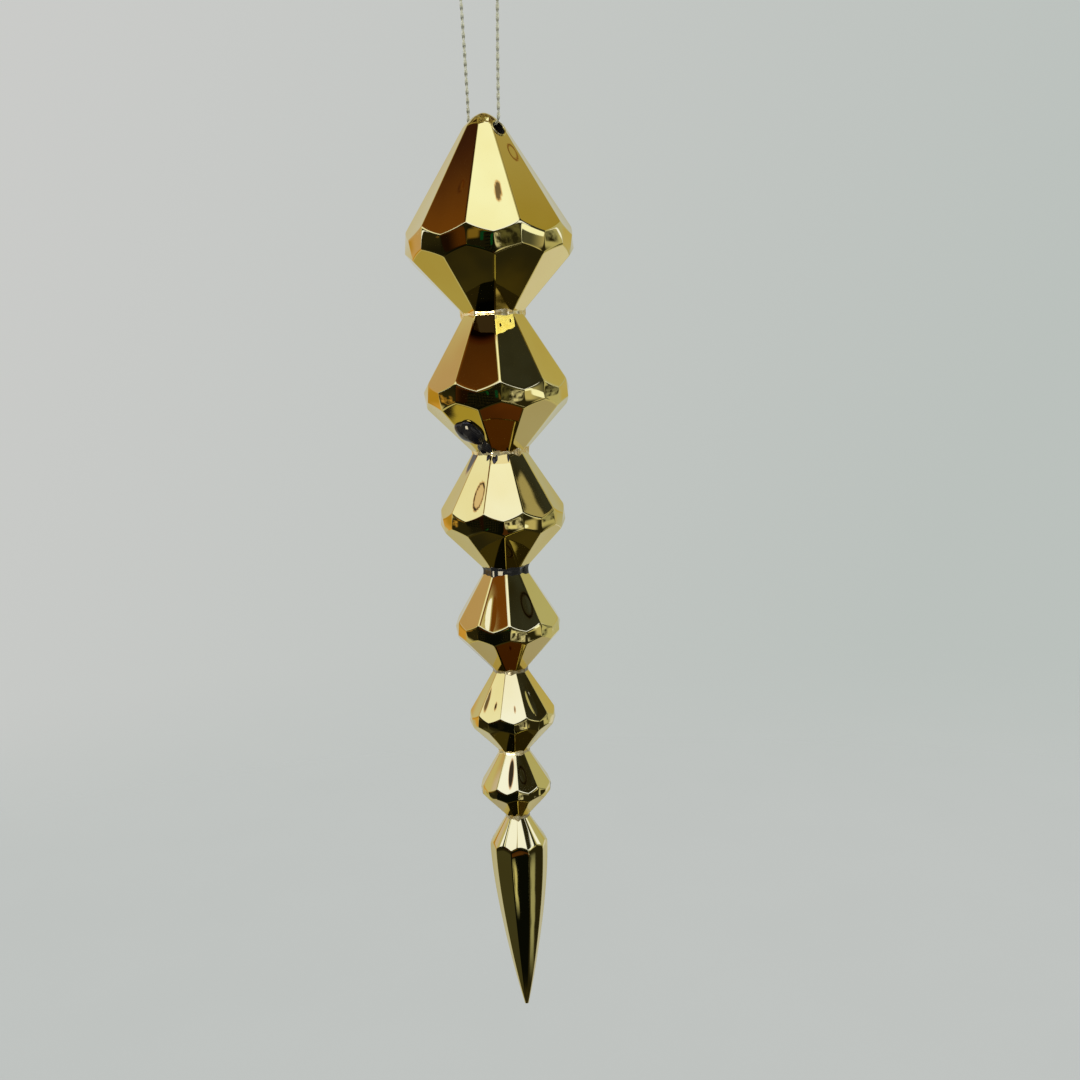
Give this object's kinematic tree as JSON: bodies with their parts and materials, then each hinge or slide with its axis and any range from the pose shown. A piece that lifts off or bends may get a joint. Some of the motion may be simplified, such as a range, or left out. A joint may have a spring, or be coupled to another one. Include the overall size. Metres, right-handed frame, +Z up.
{
  "type": "icicle hanging ornament",
  "caption": "Hanging icicle: a tapering chain of faceted gold mirror gems that ends in a long faceted spike, hung by a loop of twisted thread through its tip.",
  "frame": {"origin": "top of the thread loop, where it hangs over its hook", "axes": "+Z up, along the icicle; X along the cross hole that the thread passes through"},
  "size_m": [0.0396, 0.0396, 0.2925],
  "materials": {
    "gold_mirror": "gold vacuum-metallised mirror on moulded plastic",
    "peg_plastic": "plain moulded",
    "neck_glue": "clear glue over metallising, lumpy",
    "dark_glue": "wet gloss",
    "metallic_thread": "two-strand twisted metallic thread"
  },
  "bodies": {
    "thread_loop": {"hanging_thread": "metallic_thread", "thread_knot": "metallic_thread"},
    "icicle": {"top_drop": "gold_mirror", "gem_2": "gold_mirror", "gem_3": "gold_mirror", "gem_4": "gold_mirror", "gem_5": "gold_mirror", "gem_6": "gold_mirror", "spike_point": "gold_mirror", "neck_peg_1": "peg_plastic", "neck_peg_2": "peg_plastic", "neck_peg_3": "peg_plastic", "neck_peg_4": "peg_plastic", "neck_peg_5": "peg_plastic", "neck_peg_6": "peg_plastic", "neck_glue_1": "neck_glue", "neck_glue_2": "neck_glue", "neck_glue_3": "neck_glue", "neck_glue_4": "neck_glue", "neck_glue_5": "neck_glue", "neck_glue_6": "neck_glue", "stray_glue": "dark_glue"}
  },
  "joints": [
    {"name": "icicle_swing", "type": "hinge", "parent": "thread_loop", "child": "icicle", "pos_m": [0, 0, -0.0671], "axis": [1, 0, 0], "range_deg": [-80, 80]}
  ]
}
